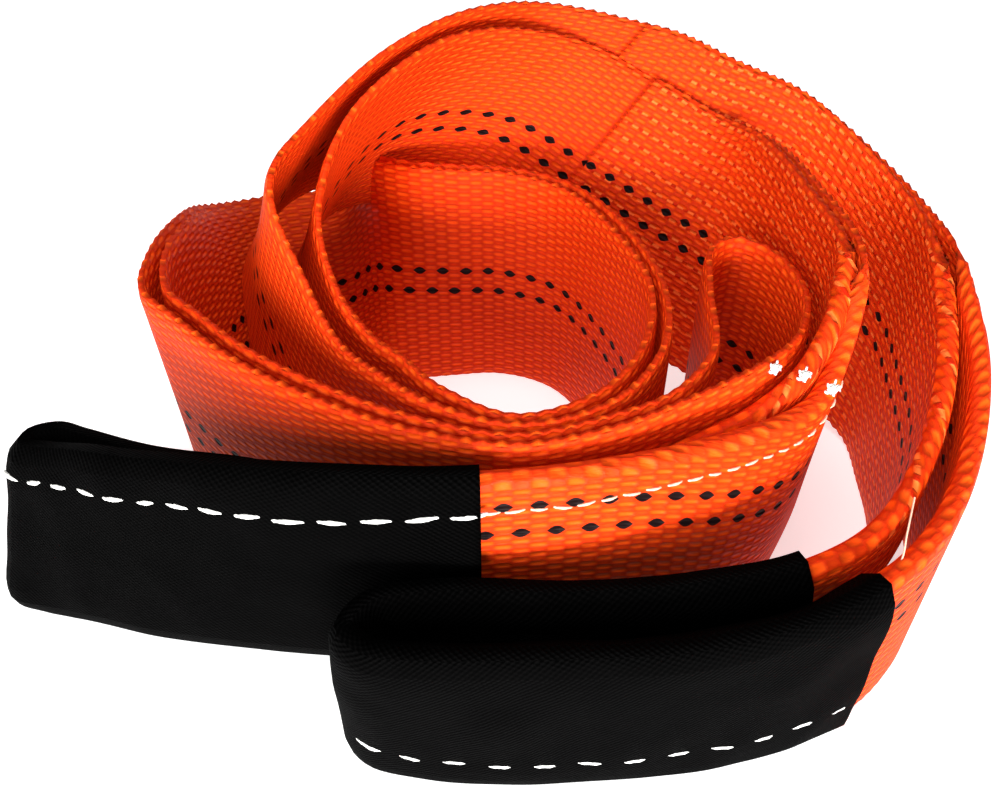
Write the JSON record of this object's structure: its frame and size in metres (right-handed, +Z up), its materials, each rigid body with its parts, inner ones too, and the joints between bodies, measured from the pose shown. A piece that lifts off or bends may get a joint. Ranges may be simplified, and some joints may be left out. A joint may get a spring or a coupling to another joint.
{
  "type": "tow strap",
  "caption": "Flat webbing tow strap folded in half, rolled and stood on its edge, with a sewn eye in a sleeve at each end",
  "frame": {"origin": "middle of the rolled strap's outline on the floor, seen from above; z = 0 is the floor", "axes": "+Z up, +X along the sewn eyes towards their joints with the roll, -Y towards the side where both eyes lie"},
  "size_m": [0.2578, 0.2098, 0.1138],
  "materials": {
    "webbing": "coarse woven polyester, orange-red",
    "sleeve": "fine black twill cloth"
  },
  "bodies": {
    "root": {"webbing": "webbing", "wear_sleeve_left": "sleeve", "wear_sleeve_front": "sleeve"}
  },
  "joints": []
}
